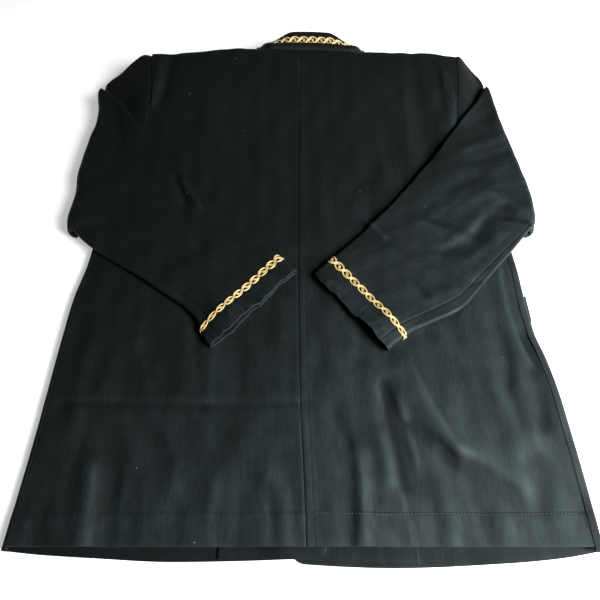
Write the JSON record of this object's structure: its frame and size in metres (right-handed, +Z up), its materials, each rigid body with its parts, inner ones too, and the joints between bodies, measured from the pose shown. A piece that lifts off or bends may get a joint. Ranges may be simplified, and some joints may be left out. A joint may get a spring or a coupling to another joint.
{
  "type": "jacket",
  "caption": "Black cotton twill jacket laid face down, its two-piece sleeves folded over the back, with a small turned collar and scroll braid on collar and cuffs.",
  "frame": {"origin": "middle of the garment's box, on the surface that it lies on", "axes": "+X to the right across the garment as seen from the hem, +Y from the hem towards the collar, +Z up, away from the surface"},
  "size_m": [0.6116, 0.7764, 0.0539],
  "materials": {
    "twill": "matte cotton twill",
    "facing": "matte cotton twill",
    "collar": "matte cotton twill",
    "braid": "metallic gold cord"
  },
  "bodies": {
    "root": {"back_left": "twill", "back_right": "twill", "front_left": "twill", "front_right": "twill", "facing_left": "facing", "facing_right": "facing", "pocket_flap_left": "twill", "pocket_flap_right": "twill", "upper_sleeve_left": "twill", "upper_sleeve_right": "twill", "under_sleeve_left": "twill", "under_sleeve_right": "twill", "collar": "collar", "collar_braid": "braid", "cuff_braid_left": "braid", "cuff_braid_right": "braid"}
  },
  "joints": []
}
